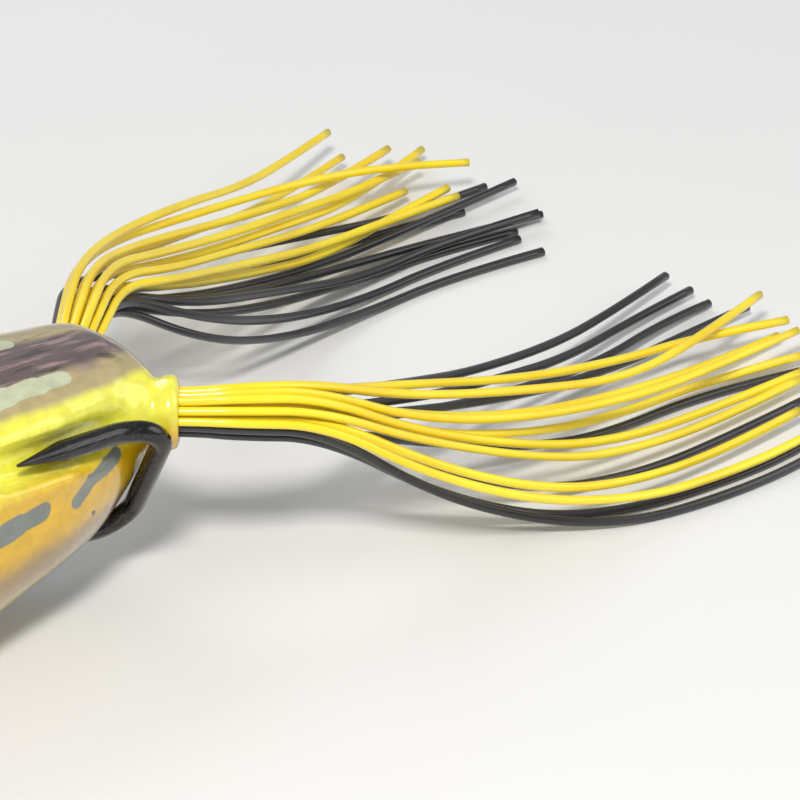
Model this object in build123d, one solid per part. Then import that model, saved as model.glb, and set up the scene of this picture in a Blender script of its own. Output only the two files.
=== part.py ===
from build123d import *
import math
import os

# A hollow-bodied popping frog: a soft topwater lure with a cupped mouth, a double hook that hugs
# the body, and two legs made of silicone strands.  Millimetres.  The nose points to -X, the legs
# trail to +X, the frog's left side is -Y, and the belly rests on Z = 0.

# ---------------------------------------------------------------- driving sizes
WALL = 1.7                    # soft shell thickness
BODY_STATIONS = [             # x, half width, lowest z, highest z
    (-26.0, 6.8, 4.2, 14.6),
    (-20.0, 9.0, 1.6, 17.6),
    (-10.0, 11.0, -0.4, 20.2),
    (0.0, 11.3, -0.9, 21.2),
    (7.0, 10.4, -0.7, 21.6),
    (12.0, 9.8, 0.9, 21.8),
    (17.0, 9.2, 2.3, 21.9),
    (22.4, 7.6, 3.6, 21.4),
    (25.8, 6.2, 5.5, 21.0),
    (28.2, 5.4, 8.2, 19.7),
    (29.9, 4.2, 10.7, 17.9),
    (30.8, 2.5, 12.8, 16.3),
]
BELLY_CUT = (60.0, 30.0, 2.0)  # block under Z = 0 that trims the belly to a flat
BELLY_FLATNESS = 1.8          # superellipse power of the lower half of a section, slightly keeled
BACK_ROUNDNESS = 2.5          # superellipse power of the upper half
SECTION_POINTS = 20

CUP_DEPTH = 4.2               # hollow of the popping mouth
CUP_LIP = 1.2                 # width of the rim left around it
NOSE_SLOT_FROM_X = -30.0      # slot through the back of the cup for the two shanks
NOSE_SLOT_LENGTH = 14.0
SHANK_PLAY = 0.3              # how much wider the slot is than the shanks

PORT_X = 30.0                 # centre of each leg port's mouth
PORT_Y = 6.6
PORT_Z = 15.0
PORT_YAW = 42.0               # the ports splay outward from the tail by this angle
PORT_BORE_R = 1.95
PORT_NECK_R = 2.45
PORT_LIP_R = 2.9
PORT_ROOT_R = 3.6
PORT_DEPTH = 7.0              # how far the collar runs back from the mouth
LIP_FLAT = 0.7                # how far the rolled lip's rounding comes in from its edge
LIP_END = -1.5                # stations along the collar, from the mouth inward
WAIST_AT = -2.2
FLARE_FROM = -3.1
FLARE_TO = -4.6
FLARE_START_R = 2.7
COUNTERBORE_LENGTH = 5.0
BORE_OVERRUN = 1.0            # tools start this far outside the mouth

STRAND_D = 0.72
STRAND_PITCH = 0.76           # strands are packed like honeycomb in the port
ROW_PITCH = STRAND_PITCH * math.sqrt(3) / 2
ROOT_LENGTH = 6.9             # part of each strand held inside the port
STRAND_START = 0.8            # the swinging part starts this far outside the mouth
BAND_R = 2.55                 # rubber band that holds the roots in the port's counterbore
BAND_WIDTH = 2.4
BAND_SET_BACK = 4.2           # band's outer face, measured back from the mouth
BAND_PLAY = 0.05
BAND_END_GAP = 0.1

WIRE_D = 1.7                  # hook wire
SHANK_Y = 0.88                # each shank's distance from the middle plane
HOOK_POINT = (12.4, 8.6, 17.5)
HOOK_SHOULDER = (23.3, 7.8, 16.2)
HOOK_TURN = (26.2, 9.7, 16.0)
HOOK_HEEL = (27.4, 2.8, 4.6)
SHANK_REAR = (12.0, SHANK_Y, 6.6)
SHANK_KNEE = (-14.0, SHANK_Y, 9.4)
EYELET_X = -31.2              # centre of the line-tie eye
EYELET_R = 2.3                # to the middle of the wire
EYELET_THROAT = 2.0           # the shanks start to part this far behind the eye's back
HOOK_BENDS = (4.0, 2.0, 3.0, 20.0, 30.0, 1.6, 1.6, 0.97 * EYELET_R)  # point side first
NEEDLE_LENGTH = 4.5           # ground point of the hook
NEEDLE_TIP_R = 0.12
BARB_R = 0.5
BARB_PROUD = 0.25             # the barb's centre lies this far under the wire's surface
BARB_BACK = 4.3               # and this far behind the point

POCKET_R = 1.5                # pocket in the flank that hides each hook point
POCKET_AHEAD = 1.4            # it starts this far ahead of the point
POCKET_LENGTH = 12.5
POCKET_WALL = 1.0             # extra shell behind it
HOOK_SLOT_CENTRE = (24.0, 0.0, 4.2)
HOOK_SLOT_SIZE = (11.0, 7.0, 4.8)

WEIGHT_SIZE = (11.0, 7.0, 5.0)
WEIGHT_CENTRE = (0.0, 0.0, 6.4)
WEIGHT_ROUNDING = 1.3
BRAZE_FROM_X = -19.6
BRAZE_TO_X = -16.2
BRAZE_THICKNESS = 0.25

EYE_CENTRE = (-13.5, 7.9, 15.6)
EYE_NORMAL = (-0.25, 0.76, 0.60)
EYE_R = 2.9
EYE_BROW_R = 4.1              # soft mound that carries the eye
EYE_SEAT = 2.2                # its seat is cut this far out from the mound's centre
EYE_SEAT_TOOL = 6.0
EYE_PLAY = 0.05
EYE_DISC_THICKNESS = 0.4
EYE_DOME_HEIGHT = 2.2

SIDES = {"left": -1, "right": 1}


# ---------------------------------------------------------------- strand routes
# Each strand: name, its seat in the port (steps across, rows up), then the points that its free
# length passes, after the seat, the port's mouth and the neck of the bundle.
NECKS = {                     # centre of the bundle at its neck, and its heading in degrees
    "left": ((39.5, -11.9, 13.8), -26.0),
    "right": ((40.2, 16, 14.2), 35.0),
}
NECK_SPREAD = 1.2             # sideways room per step at the neck
NECK_RISE = 0.86              # room per row at the neck
MOUTH_OUT = 4.5               # the bundle stays round for this far
MOUTH_SPREAD = 1.25

LEFT_STRANDS = [
    ("yellow_1", (1.5, 1), [(52.5, -8.9, 10.4), (63.8, -8.8, 6.8), (75.8, -7.7, 3.8), (85.5, -7.8, 2.8),
                            (93.2, -9.9, 2.4)]),
    ("yellow_2", (1, 2), [(50, -11, 11), (61.2, -11.3, 7.6), (72.4, -11.6, 4.8), (81.9, -10.1, 4.2),
                          (93.4, -6.4, 3.4)]),
    ("yellow_3", (0.5, 1), [(49.2, -12.3, 10), (60.5, -12.2, 6), (72.5, -11.1, 3.2), (82.8, -10.8, 2),
                            (92.2, -9.7, 1.2)]),
    ("yellow_4", (0, 2), [(47.8, -14.1, 11), (59.5, -14.5, 7), (72.4, -14.2, 4.4), (82.3, -13.2, 3.4),
                          (91.6, -12.6, 3)]),
    ("yellow_5", (-0.5, 1), [(48.9, -13.8, 9), (61.8, -13.5, 4.5), (72.3, -12.1, 2), (81.6, -11.5, 1.2),
                             (91.4, -13.6, 1.2)]),
    ("yellow_6", (-1, 2), [(47.7, -14.6, 10), (59.7, -16.1, 5), (68.4, -15.9, 2.5), (77.6, -15.8, 1.5),
                           (88.8, -16.1, 1.5)]),
    ("yellow_7", (-1.5, 1), [(47, -15.4, 9.8), (60.4, -17.3, 4), (69.1, -17.6, 2.2), (78.3, -17.5, 1.5),
                             (87.6, -16.9, 1.5)]),
    ("yellow_8", (-1, 0), [(47.2, -17, 8.2), (55.2, -20.2, 4.5), (63.1, -21.4, 2.5), (73.8, -21.6, 1.5),
                           (83.7, -20.7, 1.5)]),
    ("yellow_9", (-2, 0), [(44.8, -18.5, 9), (53.8, -22, 4.6), (63.7, -23.6, 2), (71.7, -24.3, 1.5),
                           (79.9, -24.5, 1.5), (86.8, -23.4, 1.5)]),
    ("black_1", (2, 0), [(44.6, -7.8, 12), (57, -4.8, 7.5), (64.5, -2.8, 5), (74.7, -0.9, 3), (83.3, 1.4, 2),
                         (92.6, 4, 1.5)]),
    ("black_2", (1.5, -1), [(57.3, -5.7, 6.4), (66.4, -3.7, 4), (75.4, -2, 2), (86.3, 0.8, 1),
                            (93, 1.4, 1)]),
    ("black_3", (1, -2), [(56.1, -6.6, 5.8), (67.7, -5, 3), (78.3, -3.2, 1.2), (86.8, -1.4, 1),
                          (93.1, -0.7, 0.5)]),
    ("black_4", (0.5, -1), [(55.3, -7.7, 6.6), (68.9, -6.3, 3), (78.9, -5.1, 1.4), (87.8, -4.2, 1),
                            (94.4, -4, 1)]),
    ("black_5", (0, -2), [(53.4, -9.6, 5), (63.4, -10.7, 1.5), (70.3, -11.7, 0.5), (81.5, -12, 0.4),
                          (90.2, -14.4, 0.4)]),
    ("black_6", (-0.5, -1), [(49.5, -13.4, 6), (58.6, -16.4, 1.5), (66.9, -18.1, 0.5), (75.4, -18.9, 0.5),
                             (86.8, -18.3, 0.5)]),
    ("black_7", (-1.5, -1), [(47.9, -16.1, 5), (56.2, -20.4, 1.2), (62.6, -23.9, 0.4), (70.4, -25.5, 0.4),
                             (79.1, -25.8, 0.4), (86, -24.7, 0.4)]),
    ("black_8", (-1, -2), [(48.6, -15.3, 4.6), (56.6, -18.5, 0.8), (63, -21.9, 0.4), (71.4, -23.7, 0.4),
                           (80.5, -24.1, 0.4), (87.5, -22.5, 0.4)]),
]
RIGHT_STRANDS = [
    ("yellow_1", (1.5, 1), [(48.9, 24.6, 11.8), (63.9, 30.1, 7.6), (76, 32.1, 5.5), (85.1, 31.2, 4.4),
                            (92.1, 28.2, 3.6)]),
    ("yellow_2", (1, 2), [(48.7, 23.6, 13), (60.6, 29.2, 9.6), (70.3, 33.8, 6.2), (78.3, 37.7, 4.2),
                          (87.8, 41.8, 3)]),
    ("yellow_3", (0.5, 1), [(48.9, 22, 11.5), (60.2, 27.3, 8), (69.9, 31.9, 4.6), (78.9, 36.1, 2.6),
                            (87.3, 39.4, 1.6)]),
    ("yellow_4", (0, 2), [(48.7, 21, 12.8), (59.3, 25.4, 9.2), (69.8, 29.3, 6), (79.3, 32.9, 3.4),
                          (90.3, 36.7, 2.4)]),
    ("yellow_5", (-0.5, 1), [(48.8, 19.5, 11.4), (58.9, 23.5, 8), (71, 27.5, 5), (80.9, 31, 2.4),
                             (93.7, 36, 1.5)]),
    ("yellow_6", (-1, 2), [(49.8, 19.2, 12.4), (60.5, 23.6, 8.8), (71.5, 27.4, 6), (80.8, 30.5, 3.6),
                           (90.6, 33.1, 2.4)]),
    ("yellow_7", (-1.5, 1), [(50, 17.7, 11.5), (60.1, 22.2, 8), (70.2, 26.2, 4.6), (78.5, 29, 2.6),
                             (87, 30.8, 1.5)]),
    ("yellow_8", (-2, 0), [(47.3, 14.7, 12.5), (59.7, 20.2, 7.6), (70.8, 24, 4), (80.5, 26.5, 2.2),
                           (89.8, 27.1, 1.5)]),
    ("yellow_9", (-1, 0), [(48.4, 16.1, 10.9), (60.4, 20.9, 6.2), (71.4, 24.5, 2.6), (81.1, 27.1, 1.8),
                           (90.1, 28.7, 1.6)]),
    ("black_1", (2, 0), [(50.6, 20.6, 10), (64, 25.9, 5.5), (75.3, 28.6, 2.2), (85, 28.6, 0.6),
                         (94.1, 28.2, 0.6)]),
    ("black_2", (1.5, -1), [(48.7, 19, 9.6), (61.5, 23.9, 4.4), (73.6, 27.7, 1), (82.3, 27.7, 0.4),
                            (89.6, 26.1, 0.4)]),
    ("black_3", (1, -2), [(48.3, 17, 9.4), (61.6, 21.9, 4.4), (73, 25, 1.5), (84.4, 25.7, 1.2),
                          (95.8, 26.3, 1.2)]),
    ("black_4", (0.5, -1), [(49.1, 15.8, 9.4), (60.8, 20.5, 4.6), (73.3, 24, 1.2), (83.4, 23.4, 0.5),
                            (94.2, 21.1, 0.5)]),
    ("black_5", (0, -2), [(48.9, 14.8, 8.6), (61, 19.1, 3.6), (73.5, 22.4, 0.5), (82.6, 21.9, 0.4),
                          (90.4, 20.2, 0.4)]),
    ("black_6", (-1.5, -1), [(48.9, 12.8, 9), (60.5, 16.5, 3.5), (71.8, 19.2, 0.5), (81.1, 19.8, 0.4),
                             (89.6, 19, 0.4)]),
    ("black_7", (-0.5, -1), [(48.8, 14.4, 9.8), (61.9, 18.5, 5), (73.2, 20.9, 1.5), (83.6, 21.8, 1.2),
                             (93, 20.3, 1.3)]),
    ("black_8", (-1, -2), [(48.4, 12.4, 7.4), (59.7, 15.5, 2.4), (70.9, 17.4, 0.4), (80.6, 17.6, 0.4),
                           (89.5, 15.9, 0.4)]),
]
STRANDS = {"left": LEFT_STRANDS, "right": RIGHT_STRANDS}


# ---------------------------------------------------------------- small helpers
def save(shape, node, color):
    """Write one sub-part under its node name."""
    shape.label = node
    shape.color = Color(*color)
    export_step(shape, f"parts/{node}.step")


def mirrored(point, side):
    """A point given for the right side, on either side."""
    return (point[0], side * point[1], point[2])


def round_path(points, radius=None):
    """Straight runs joined by arcs that are as large as the runs allow."""
    vectors = [Vector(*p) for p in points]
    radii = []
    for before, here, after in zip(vectors, vectors[1:], vectors[2:]):
        turn = math.radians((here - before).get_angle(after - here))
        shorter = min((here - before).length, (after - here).length)
        widest = 0.45 * shorter / math.tan(turn / 2)
        radii.append(widest if radius is None else min(radius, widest))
    return FilletPolyline(*vectors, radius=radii), radii


def round_tube(points, diameter, radius=None):
    """A round bar along a path of runs and arcs."""
    path, radii = round_path(points, radius)
    start = Plane(origin=path @ 0, z_dir=path % 0)
    bar = sweep(start * Circle(diameter / 2), path=path)
    return bar, path, radii


# ---------------------------------------------------------------- soft body
def body_section(x, half_width, low, high, inset=0.0):
    """One cross-section: a superellipse that is flatter below than above."""
    middle = (low + high) / 2
    half_height = (high - low) / 2 - inset
    width = half_width - inset
    points = []
    for step in range(SECTION_POINTS):
        angle = 2 * math.pi * step / SECTION_POINTS
        across = math.cos(angle)
        up = math.sin(angle)
        power = 2 / (BACK_ROUNDNESS if up > 0 else BELLY_FLATNESS)
        y = width * math.copysign(abs(across) ** power, across)
        z = half_height * math.copysign(abs(up) ** power, up)
        points.append((x, y, middle + z))
    return make_face(Spline(points, periodic=True))


def port_frame(side):
    """Mouth, outward direction and sideways direction of a leg port."""
    yaw = math.radians(side * PORT_YAW)
    mouth = Vector(PORT_X, side * PORT_Y, PORT_Z)
    outward = Vector(math.cos(yaw), math.sin(yaw), 0)
    across = Vector(-math.sin(yaw), math.cos(yaw), 0)
    return mouth, outward, across


def port_boss(side):
    """Moulded collar of a leg port: a waisted neck and a rolled lip."""
    mouth, outward, across = port_frame(side)
    lip = PORT_LIP_R - LIP_FLAT
    lip_end_r = (lip + PORT_LIP_R) / 2
    profile_plane = Plane(origin=mouth, x_dir=across, z_dir=across.cross(outward))
    outline = Polyline((0, -PORT_DEPTH), (0, 0), (lip, 0))
    rolled = ThreePointArc((lip, 0), (PORT_LIP_R, LIP_END / 2), (lip_end_r, LIP_END))
    waist = ThreePointArc((lip_end_r, LIP_END), (PORT_NECK_R, WAIST_AT), (FLARE_START_R, FLARE_FROM))
    root = Polyline((FLARE_START_R, FLARE_FROM), (PORT_ROOT_R, FLARE_TO), (PORT_ROOT_R, -PORT_DEPTH),
                    (0, -PORT_DEPTH))
    face = profile_plane * make_face(outline + rolled + waist + root)
    return revolve(face, Axis(mouth, outward), 360)


def port_cylinder(side, radius, start, length):
    """A cylinder on a port's axis, from `start` mm outside the mouth, running back."""
    mouth, outward, _ = port_frame(side)
    plane = Plane(origin=mouth + outward * start, z_dir=outward * -1)
    return extrude(plane * Circle(radius), length)


def pocket_tool(side, radius):
    """Round-ended bar along the hook point, from a little ahead of it."""
    point = Vector(*mirrored(HOOK_POINT, side))
    shoulder = Vector(*mirrored(HOOK_SHOULDER, side))
    along = (shoulder - point).normalized()
    start = point - along * POCKET_AHEAD
    bar = extrude(Plane(origin=start, z_dir=along) * Circle(radius), POCKET_LENGTH)
    return bar + Pos(start) * Sphere(radius)


def make_body():
    """Soft hollow shell with its cupped mouth, ports, eye seats, hook pockets and hook slot."""
    outer = loft([body_section(*station) for station in BODY_STATIONS])
    inner = loft([body_section(x, w, low, high, WALL) for x, w, low, high in BODY_STATIONS[1:-1]],
                 ruled=True)
    for side in SIDES.values():
        # the wall is thicker behind each hook pocket
        inner -= pocket_tool(side, POCKET_R + POCKET_WALL)
    shell = outer
    for side in SIDES.values():
        centre = Vector(*mirrored(EYE_CENTRE, side))
        shell += Pos(centre) * Sphere(EYE_BROW_R)
        shell += port_boss(side)
    shell -= inner
    # the popping cup
    x, half_width, low, high = BODY_STATIONS[0]
    cup = scale(Sphere(1), by=(CUP_DEPTH, half_width - CUP_LIP, (high - low) / 2 - CUP_LIP))
    shell -= Pos(x, 0, (low + high) / 2) * cup
    # nose hole: the shanks pass through the back of the cup
    nose = Plane(origin=(NOSE_SLOT_FROM_X, 0, SHANK_KNEE[2]), z_dir=(1, 0, 0))
    slot = SlotOverall(2 * SHANK_Y + WIRE_D + SHANK_PLAY, WIRE_D + SHANK_PLAY, rotation=90)
    shell -= extrude(nose * slot, NOSE_SLOT_LENGTH)
    for side in SIDES.values():
        shell -= port_cylinder(side, PORT_BORE_R, BORE_OVERRUN, PORT_DEPTH + 2 * BORE_OVERRUN)
        # seat of the eye
        normal = Vector(*mirrored(EYE_NORMAL, side)).normalized()
        seat = Plane(origin=Vector(*mirrored(EYE_CENTRE, side)) + normal * EYE_SEAT, z_dir=normal)
        shell -= extrude(seat * Circle(EYE_R), EYE_SEAT_TOOL)
        shell -= port_cylinder(side, BAND_R + BAND_PLAY, BAND_END_GAP - BAND_SET_BACK, COUNTERBORE_LENGTH)
        shell -= pocket_tool(side, POCKET_R)
    # flat of the belly, on which the lure rests
    shell -= Pos(0, 0, -BELLY_CUT[2] / 2) * Box(*BELLY_CUT)
    # slot under the tail where the hook comes out
    shell -= Pos(*HOOK_SLOT_CENTRE) * Box(*HOOK_SLOT_SIZE)
    return shell


# ---------------------------------------------------------------- hook and what is on its shank
def hook_points(side):
    """Route of one half of the hook, from its point to the line-tie eye."""
    bends = (HOOK_POINT, HOOK_SHOULDER, HOOK_TURN, HOOK_HEEL, SHANK_REAR, SHANK_KNEE)
    points = [mirrored(p, side) for p in bends]
    z = SHANK_KNEE[2]
    throat_x = EYELET_X + EYELET_R + EYELET_THROAT
    points.append((throat_x, side * SHANK_Y, z))
    points.append((EYELET_X + 0.9 * EYELET_R, side * EYELET_R, z))
    points.append((EYELET_X - EYELET_R, side * EYELET_R, z))
    points.append((EYELET_X - EYELET_R, 0, z))
    return points


def make_hook():
    """Double hook bent from one wire, with two ground points and a small barb on each."""
    left = hook_points(-1)
    right = hook_points(1)
    points = left[:-1] + right[::-1][1:]
    vectors = [Vector(*p) for p in points]
    path = FilletPolyline(*vectors, radius=list(HOOK_BENDS + HOOK_BENDS[::-1]))
    start = Plane(origin=path @ 0, z_dir=path % 0)
    bar = sweep(start * Circle(WIRE_D / 2), path=path)
    for side in SIDES.values():
        point = Vector(*mirrored(HOOK_POINT, side))
        shoulder = Vector(*mirrored(HOOK_SHOULDER, side))
        along = (shoulder - point).normalized()
        # the wire's end is ground down to a cone
        grinding = Plane(origin=point - along, z_dir=along)
        sleeve = extrude(grinding * Circle(WIRE_D), NEEDLE_LENGTH + 1)
        needle = Plane(origin=point + along * NEEDLE_LENGTH, z_dir=along * -1)
        cone = loft([needle * Circle(WIRE_D / 2), needle.offset(NEEDLE_LENGTH) * Circle(NEEDLE_TIP_R)])
        bar = bar - (sleeve - cone)
        barb_at = Plane(origin=point + along * BARB_BACK, z_dir=along, x_dir=Vector(0, -side, -0.5))
        barb = barb_at * Pos(WIRE_D / 2 - BARB_PROUD, 0, 0) * Sphere(BARB_R)
        bar = bar + barb
    return bar


def make_weight(hook):
    """Keel weight cast around the two shanks, inside the belly."""
    block = Pos(*WEIGHT_CENTRE) * Box(*WEIGHT_SIZE)
    block = fillet(block.edges(), WEIGHT_ROUNDING)
    return block - hook


def make_braze(hook):
    """Solder that joins the two shanks behind the nose."""
    plane = Plane(origin=(BRAZE_FROM_X, 0, SHANK_KNEE[2]), z_dir=(1, 0, 0))
    thick = WIRE_D + 2 * BRAZE_THICKNESS
    sleeve = extrude(plane * SlotOverall(2 * SHANK_Y + thick, thick, rotation=90), BRAZE_TO_X - BRAZE_FROM_X)
    return sleeve - hook


# ---------------------------------------------------------------- eyes
def make_eye(side):
    """Printed backing disc and the clear dome over it."""
    normal = Vector(*mirrored(EYE_NORMAL, side)).normalized()
    floor = Vector(*mirrored(EYE_CENTRE, side)) + normal * EYE_SEAT
    radius = EYE_R - EYE_PLAY
    backing = extrude(Plane(origin=floor, z_dir=normal) * Circle(radius), EYE_DISC_THICKNESS)
    glass_from = floor + normal * EYE_DISC_THICKNESS
    ball_r = (radius ** 2 + EYE_DOME_HEIGHT ** 2) / (2 * EYE_DOME_HEIGHT)
    ball = Pos(glass_from + normal * (EYE_DOME_HEIGHT - ball_r)) * Sphere(ball_r)
    lens = ball & extrude(Plane(origin=glass_from, z_dir=normal) * Circle(radius), 2 * EYE_DOME_HEIGHT)
    return backing, lens


# ---------------------------------------------------------------- legs
def seat_of(side, slot, out=0.0, spread=1.0):
    """Centre of a strand, `out` mm outside the port's mouth."""
    mouth, outward, across = port_frame(side)
    offset = across * (slot[0] * STRAND_PITCH * spread)
    return mouth + outward * out + offset + Vector(0, 0, slot[1] * ROW_PITCH * spread)


def strand_route(name, slot, points):
    """Free route of a strand on the named side, from just outside the mouth to its tip."""
    side = SIDES[name]
    centre, heading = NECKS[name]
    turn = math.radians(heading)
    sideways = Vector(-math.sin(turn), math.cos(turn), 0) * (slot[0] * NECK_SPREAD)
    neck = Vector(*centre) + sideways + Vector(0, 0, slot[1] * NECK_RISE)
    start = seat_of(side, slot, STRAND_START)
    mouth = seat_of(side, slot, MOUTH_OUT, MOUTH_SPREAD)
    return [start, mouth, neck] + [Vector(*p) for p in points]


def make_roots(side, strands):
    """The held ends of one leg's strands, packed in the port."""
    roots = []
    _, outward, _ = port_frame(side)
    for _, slot, _ in strands:
        plane = Plane(origin=seat_of(side, slot), z_dir=outward * -1)
        roots.append(extrude(plane * Circle(STRAND_D / 2), ROOT_LENGTH))
    return Compound(children=roots)


def make_band(side):
    """Rubber band round the roots, inside the shell."""
    band = port_cylinder(side, BAND_R, -BAND_SET_BACK, BAND_WIDTH)
    return band - port_cylinder(side, PORT_BORE_R, 0, PORT_DEPTH)


def main():
    os.makedirs("parts", exist_ok=True)
    hook = make_hook()
    save(make_body(), "body_shell", (0.86, 0.78, 0.12))
    save(hook, "double_hook", (0.08, 0.08, 0.09))
    save(make_weight(hook), "keel_weight", (0.45, 0.46, 0.48))
    save(make_braze(hook), "shank_braze", (0.6, 0.55, 0.4))
    for name, side in SIDES.items():
        backing, lens = make_eye(side)
        save(backing, f"{name}_eye_disc", (0.8, 0.5, 0.1))
        save(lens, f"{name}_eye_dome", (0.9, 0.9, 0.85))
        save(make_roots(side, STRANDS[name]), f"{name}_leg_roots", (0.9, 0.8, 0.1))
        save(make_band(side), f"{name}_leg_band", (0.15, 0.15, 0.15))
        for label, slot, points in STRANDS[name]:
            route = strand_route(name, slot, points)
            tube, path, radii = round_tube(route, STRAND_D)
            section = math.pi * STRAND_D ** 2 / 4
            print(f"{name} {label}: length {path.length:.1f}, tightest {min(radii):.1f}, "
                  f"volume ratio {tube.volume / (section * path.length):.4f}")
            paint = (0.92, 0.82, 0.05) if label.startswith("yellow") else (0.03, 0.03, 0.03)
            save(tube, f"{name}_strand_{label}", paint)


main()
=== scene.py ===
import bpy
import math
import numpy as np
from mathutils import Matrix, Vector


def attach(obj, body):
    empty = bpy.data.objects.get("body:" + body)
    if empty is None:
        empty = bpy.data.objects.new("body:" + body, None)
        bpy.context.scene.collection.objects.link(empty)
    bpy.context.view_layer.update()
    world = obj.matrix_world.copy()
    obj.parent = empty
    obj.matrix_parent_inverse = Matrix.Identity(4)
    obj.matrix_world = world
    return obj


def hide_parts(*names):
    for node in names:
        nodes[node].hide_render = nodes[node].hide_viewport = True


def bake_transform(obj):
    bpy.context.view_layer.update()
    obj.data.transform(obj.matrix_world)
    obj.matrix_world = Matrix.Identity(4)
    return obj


# Looks of a hollow-bodied popping frog lure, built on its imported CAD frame.  Shapes are worked out
# in millimetres and written to the meshes in metres.  Nose to -X, tail to +X, left side -Y.

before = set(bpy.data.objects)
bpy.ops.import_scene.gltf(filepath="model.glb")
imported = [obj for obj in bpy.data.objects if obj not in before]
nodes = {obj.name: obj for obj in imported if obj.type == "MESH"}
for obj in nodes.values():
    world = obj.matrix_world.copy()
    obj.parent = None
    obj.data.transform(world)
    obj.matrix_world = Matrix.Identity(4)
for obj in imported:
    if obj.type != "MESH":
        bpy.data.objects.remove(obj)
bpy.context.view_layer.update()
MM = 0.001

# ---------------------------------------------------------------- sizes shared with the design
BODY_STATIONS = [             # x, half width, lowest z, highest z
    (-26.0, 6.8, 4.2, 14.6),
    (-20.0, 9.0, 1.6, 17.6),
    (-10.0, 11.0, -0.4, 20.2),
    (0.0, 11.3, -0.9, 21.2),
    (7.0, 10.4, -0.7, 21.6),
    (12.0, 9.8, 0.9, 21.8),
    (17.0, 9.2, 2.3, 21.9),
    (22.4, 7.6, 3.6, 21.4),
    (25.8, 6.2, 5.5, 21.0),
    (28.2, 5.4, 8.2, 19.7),
    (29.9, 4.2, 10.7, 17.9),
    (30.8, 2.5, 12.8, 16.3),
    (31.1, 0.05, 14.5, 14.6),
]
NOSE_X = -26.0
NOSE_MIDDLE_Z = 9.4
BELLY_POWER = 1.8
BACK_POWER = 2.5
WALL = 1.7
CAVITY = (-19.8, 28.6)        # the hollow runs between these x

CUP_RADII = (4.2, 5.6, 4.0)
PORT = (30.0, 6.6, 15.0)
PORT_YAW = 42.0
PORT_BORE_R = 1.95
LIP_RING_R = 2.12             # middle of the rolled lip's section
LIP_SETBACK = 0.78
LIP_R = 0.76
NECK_R = 2.55
NECK_SPAN = (-3.4, 2.8)       # spans along the port's axis: middle and half length
FLARE_R = 2.75
FLARE_GROWTH = 0.95
FLARE_START = 2.9             # depth behind the mouth
FLARE_RUN = 1.5               # the flare grows to its full width over this length
ROOT_SPAN = (-5.0, 2.2)
ROOT_WALL_R = 3.6             # the hollow keeps this far from the port's axis
BORE_SPAN = (-4.0, 6.0)
BAND_SEAT_R = 2.6
BAND_SPAN = (-6.6, 2.5)
EYE_CENTRE = (-13.5, 7.9, 15.6)
EYE_NORMAL = (-0.25, 0.76, 0.60)
EYE_R = 2.9
EYE_BROW_R = 4.1
EYE_SEAT = 2.2                # the seat lies this far out from the mound's centre

HOOK_POINT = (12.4, 8.6, 17.5)
HOOK_SHOULDER = (23.3, 7.8, 16.2)
SHANK_Z = 9.4
WIRE_D = 1.7
SHANK_Y = 0.88
POCKET_R = 1.5
POCKET_WALL = 1.0
POCKET_BEHIND = 1.4           # the pocket runs past the point and on towards the shoulder
POCKET_AHEAD = 11.1
WIRE_PLAY = 0.15
WIRE_HOLE_END = -15.0         # the hole for the shanks ends at this x
RIM_R = 3.2                   # swelling round the pocket
RIM_DEPTH = 2.2               # its axis lies this far under the hook's
RIM_OUTWARD = (0.0, 0.86, 0.51)
RIM_AHEAD = 1.6
RIM_BEHIND = 4.2
TAIL_SLOT_CENTRE = (24.0, 0.0, 4.2)
TAIL_SLOT_HALF = (5.5, 3.5, 2.4)
TAIL_SLOT_ROUND = 1.2
SURFACE_BOX = (-28.0, -15.0, -0.8), (33.0, 15.0, 23.0)
SURFACE_STEP = 0.4
SURFACE_PASSES = 4

# fillets where the shell's shapes join, and roundings of the edges that are cut
NOSE_ROUND = 1.6
BROW_FILLET = 2.4
PORT_FILLET = 1.1
RIM_FILLET = 1.2
LIP_FILLET = 0.7
ROOT_FILLET = 0.9
HOLLOW_ROUND = 0.5
CUP_ROUND = 0.9
WIRE_HOLE_ROUND = 0.25
BORE_ROUND = 0.3
BAND_SEAT_ROUND = 0.2
EYE_SEAT_ROUND = 0.25
POCKET_ROUND = 1.3
TAIL_SLOT_EDGE_ROUND = 0.5
REST_ROUND = 0.3              # edge of the small flat that the belly rests on

STRAND_D = 0.72
STRAND_SIDES = 12
SQUARENESS = 2.6              # superellipse power of a strand's cut section
STRAND_WIDE = 0.50            # half sizes of the section, as parts of the diameter
STRAND_THIN = 0.47
TWIST_RATE = 0.018
SWELL = 0.03
STRAND_PITCH = 0.76
ROW_PITCH = STRAND_PITCH * math.sqrt(3) / 2
ROOT_LENGTH = 6.9
STRAND_START = 0.8
MOUTH_OUT = 4.5               # the bundle stays round for this far
MOUTH_SPREAD = 1.25
NECKS = {                     # centre of the bundle at its neck, and its heading in degrees
    "left": ((39.5, -11.9, 13.8), -26.0),
    "right": ((40.2, 16, 14.2), 35.0),
}
NECK_SPREAD = 1.2
NECK_RISE = 0.86
SIDES = {"left": -1, "right": 1}

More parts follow.
